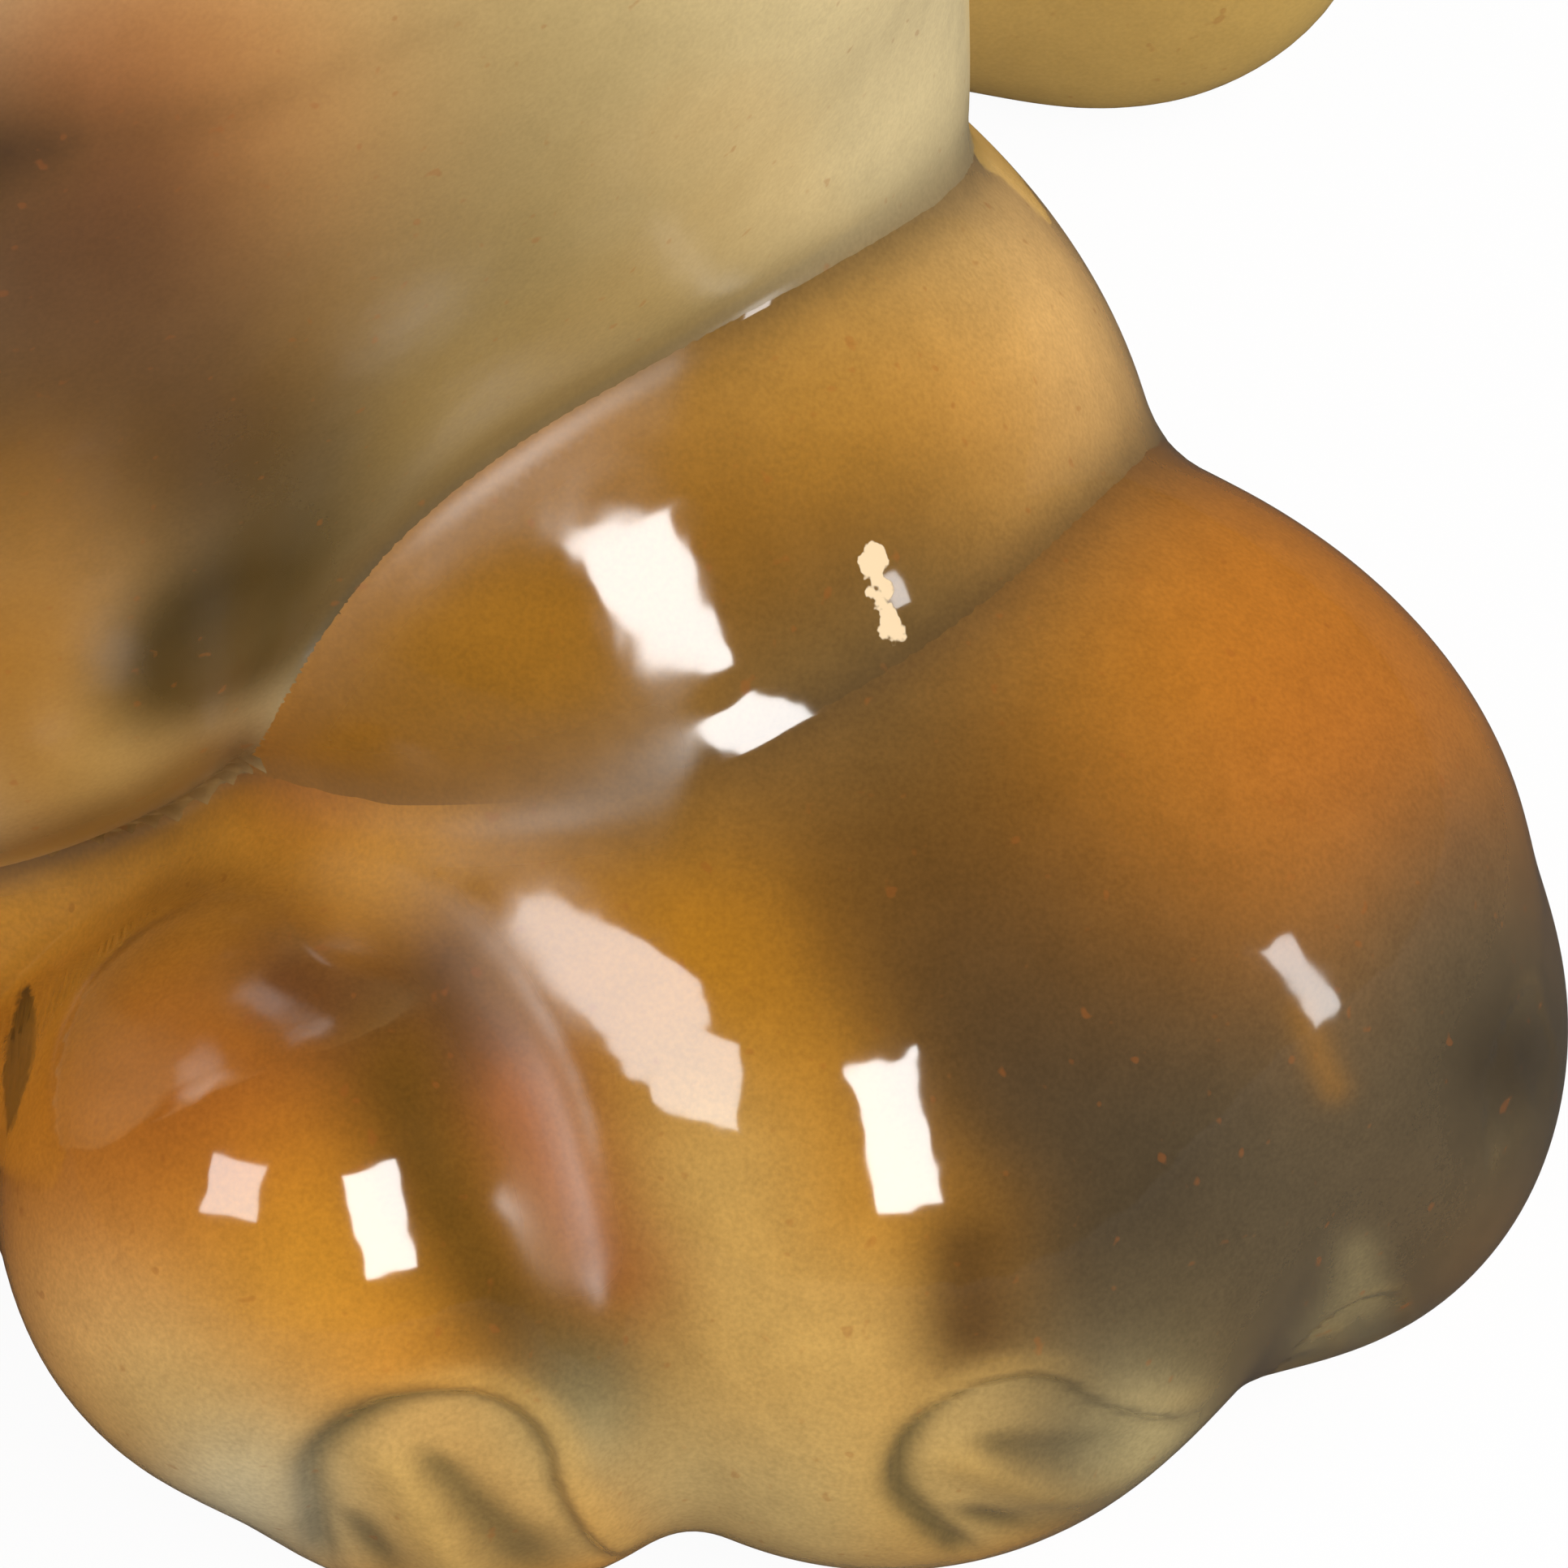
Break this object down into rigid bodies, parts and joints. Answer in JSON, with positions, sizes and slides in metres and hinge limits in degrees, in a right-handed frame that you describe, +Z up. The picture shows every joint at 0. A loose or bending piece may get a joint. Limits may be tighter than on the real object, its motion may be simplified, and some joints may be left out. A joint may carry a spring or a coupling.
{
  "type": "tiger figurine",
  "caption": "Seated tiger cub ornament in glossy airbrushed porcelain, its rounded limbs luted on as separate castings, resting on its rump, paws and tail.",
  "frame": {"origin": "centre of the outline's box on the ground plane that the figure rests on", "axes": "+X the way the tiger faces, +Y its left side, +Z up"},
  "size_m": [0.1544, 0.1474, 0.207],
  "materials": {
    "amber_glaze": "gloss",
    "cream_glaze": "gloss",
    "umber_glaze": "gloss"
  },
  "bodies": {
    "root": {"torso": "amber_glaze", "head": "amber_glaze", "tail": "amber_glaze", "left_ear": "amber_glaze", "left_foreleg": "amber_glaze", "left_forepaw": "cream_glaze", "left_haunch": "cream_glaze", "left_shank": "amber_glaze", "left_hind_foot": "umber_glaze", "right_ear": "amber_glaze", "right_foreleg": "amber_glaze", "right_forepaw": "cream_glaze", "right_haunch": "cream_glaze", "right_shank": "amber_glaze", "right_hind_foot": "umber_glaze"}
  },
  "joints": []
}
